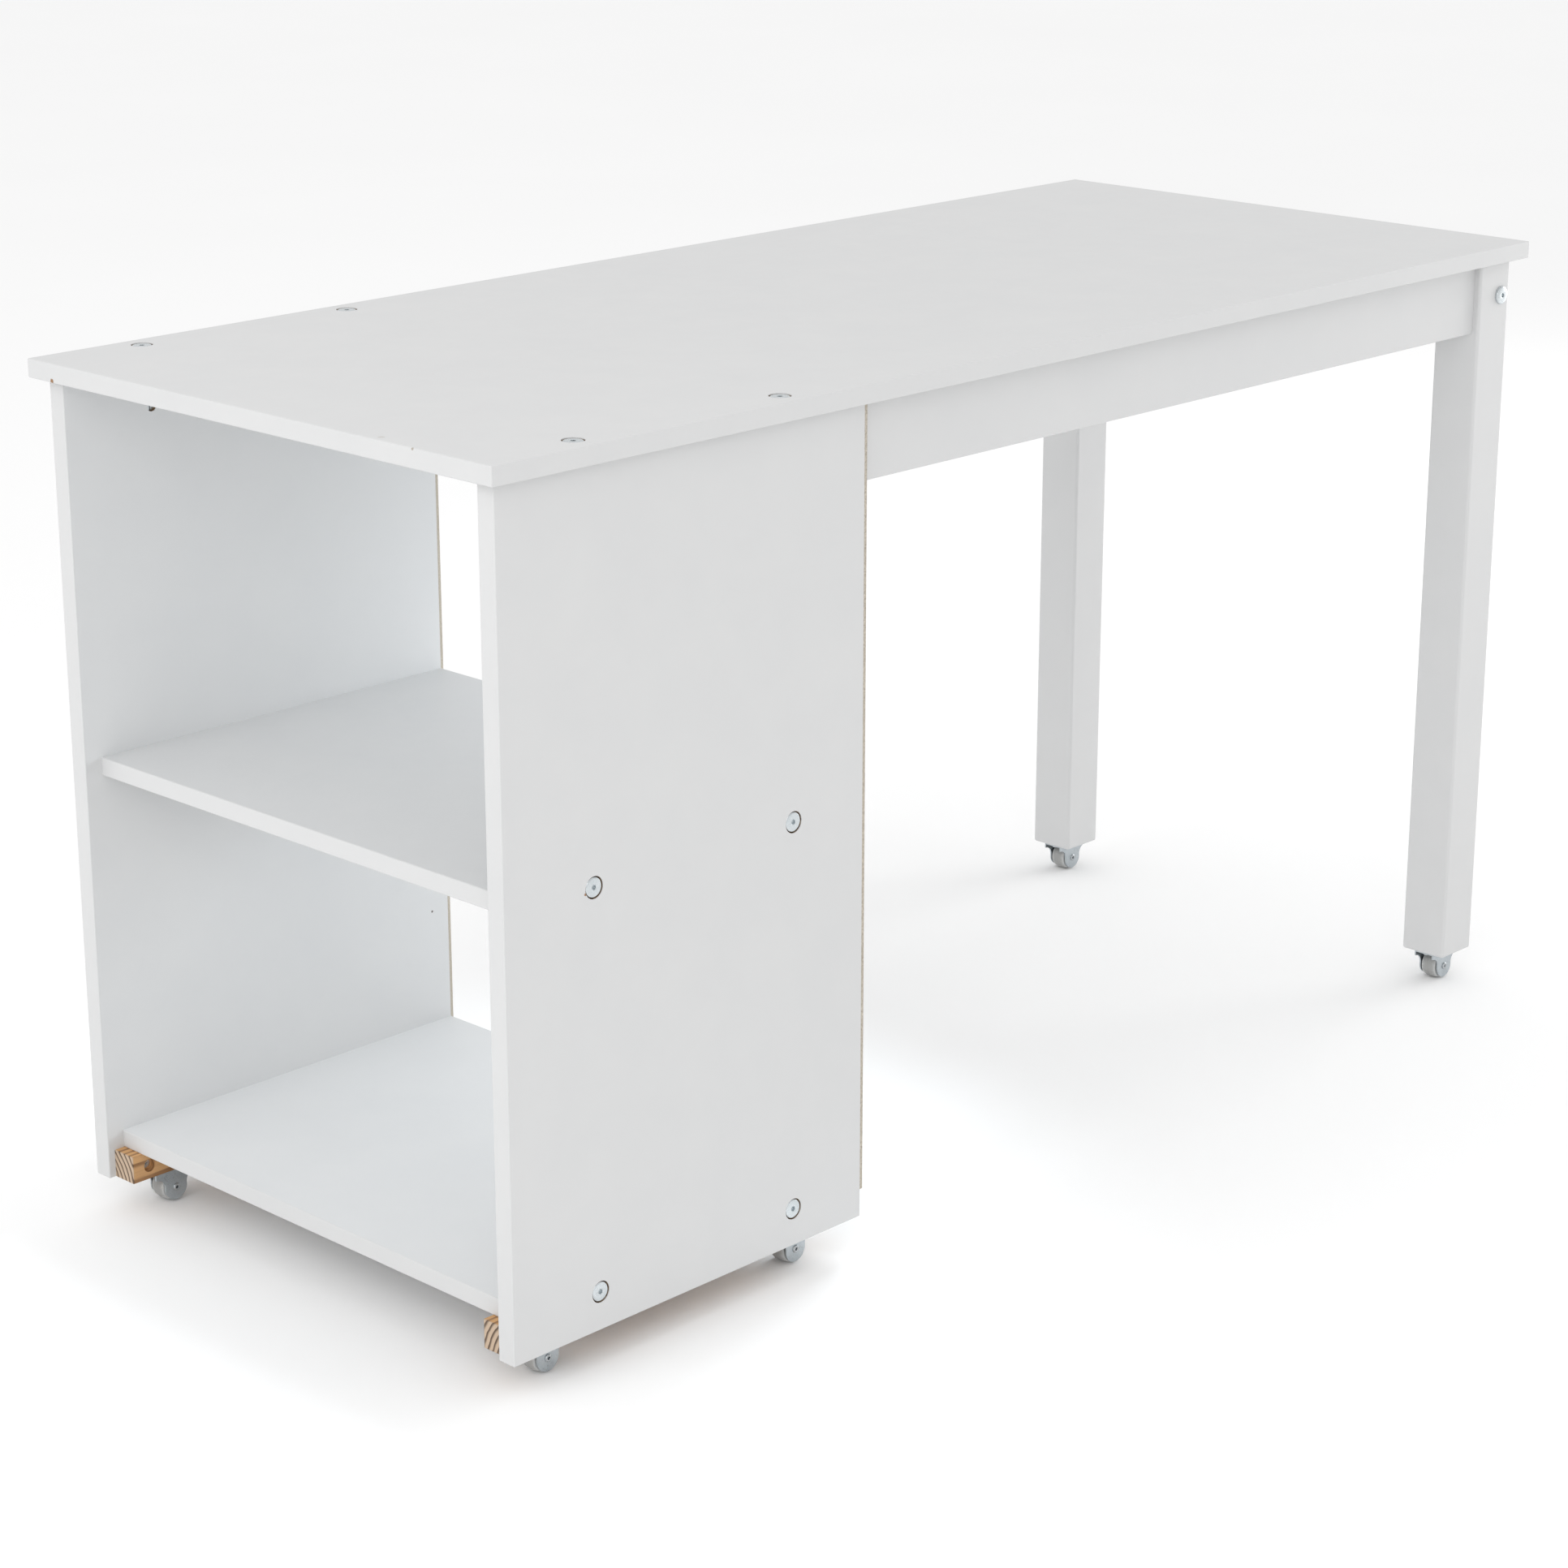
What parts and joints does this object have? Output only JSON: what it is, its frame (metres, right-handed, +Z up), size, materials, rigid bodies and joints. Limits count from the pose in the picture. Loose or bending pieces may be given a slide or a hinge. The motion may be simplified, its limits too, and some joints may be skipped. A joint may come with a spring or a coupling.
{
  "type": "sewing table",
  "caption": "Rolling sewing table: a flat bolted top over an open shelf cabinet at one end and a leg frame at the other, on small fixed casters.",
  "frame": {"origin": "on the floor, under the middle of the table top", "axes": "+X from the open end of the cabinet to the legs, +Y from the front long side to the rear one, +Z up"},
  "size_m": [1.33, 0.564, 0.75],
  "materials": {
    "white_foil": "satin white foil on board",
    "white_lacquer": "satin white lacquer on wood",
    "hardboard": "raw pressed fibre",
    "pine": "planed, unpainted",
    "beech": "planed, unpainted",
    "zinc_bolts": "bright zinc plating",
    "zinc_screws": "bright zinc plating",
    "stamped_zinc": "zinc-plated sheet",
    "rivet_steel": "zinc plating, rolled over",
    "wheel_plastic": "hard white plastic"
  },
  "bodies": {
    "table": {"table_top": "white_foil", "front_side_panel": "white_foil", "rear_side_panel": "white_foil", "middle_shelf": "white_foil", "bottom_shelf": "white_foil", "front_leg": "white_lacquer", "rear_leg": "white_lacquer", "front_apron": "white_lacquer", "rear_apron": "white_lacquer", "end_apron": "white_lacquer", "front_edge_strip": "hardboard", "rear_edge_strip": "hardboard", "front_caster_rail": "pine", "rear_caster_rail": "pine", "top_bolts": "zinc_bolts", "shelf_bolts": "zinc_bolts", "leg_bolts": "zinc_bolts", "panel_barrel_nuts": "zinc_bolts", "shelf_barrel_nuts": "zinc_bolts", "apron_barrel_nuts": "zinc_bolts", "board_dowels": "beech", "slim_dowels": "beech", "rail_screws": "zinc_screws", "strip_nails": "zinc_screws", "bracket_screws": "zinc_screws", "caster_screws": "zinc_screws", "corner_brackets": "stamped_zinc", "front_left_caster_fork": "stamped_zinc", "front_left_caster_axle": "rivet_steel", "rear_left_caster_fork": "stamped_zinc", "rear_left_caster_axle": "rivet_steel", "front_middle_caster_fork": "stamped_zinc", "front_middle_caster_axle": "rivet_steel", "rear_middle_caster_fork": "stamped_zinc", "rear_middle_caster_axle": "rivet_steel", "front_right_caster_fork": "stamped_zinc", "front_right_caster_axle": "rivet_steel", "rear_right_caster_fork": "stamped_zinc", "rear_right_caster_axle": "rivet_steel"},
    "front_left_wheel": {"front_left_caster_wheel": "wheel_plastic"},
    "rear_left_wheel": {"rear_left_caster_wheel": "wheel_plastic"},
    "front_middle_wheel": {"front_middle_caster_wheel": "wheel_plastic"},
    "rear_middle_wheel": {"rear_middle_caster_wheel": "wheel_plastic"},
    "front_right_wheel": {"front_right_caster_wheel": "wheel_plastic"},
    "rear_right_wheel": {"rear_right_caster_wheel": "wheel_plastic"}
  },
  "joints": [
    {"name": "front_left_wheel_spin", "type": "hinge", "parent": "table", "child": "front_left_wheel", "pos_m": [-0.6, -0.2395, 0.0135], "axis": [0, 1, 0], "continuous": true},
    {"name": "rear_left_wheel_spin", "type": "hinge", "parent": "table", "child": "rear_left_wheel", "pos_m": [-0.6, 0.2395, 0.0135], "axis": [0, 1, 0], "continuous": true},
    {"name": "front_middle_wheel_spin", "type": "hinge", "parent": "table", "child": "front_middle_wheel", "pos_m": [-0.317, -0.2395, 0.0135], "axis": [0, 1, 0], "continuous": true},
    {"name": "rear_middle_wheel_spin", "type": "hinge", "parent": "table", "child": "rear_middle_wheel", "pos_m": [-0.317, 0.2395, 0.0135], "axis": [0, 1, 0], "continuous": true},
    {"name": "front_right_wheel_spin", "type": "hinge", "parent": "table", "child": "front_right_wheel", "pos_m": [0.6295, -0.2445, 0.0135], "axis": [0, 1, 0], "continuous": true},
    {"name": "rear_right_wheel_spin", "type": "hinge", "parent": "table", "child": "rear_right_wheel", "pos_m": [0.6295, 0.2445, 0.0135], "axis": [0, 1, 0], "continuous": true}
  ]
}
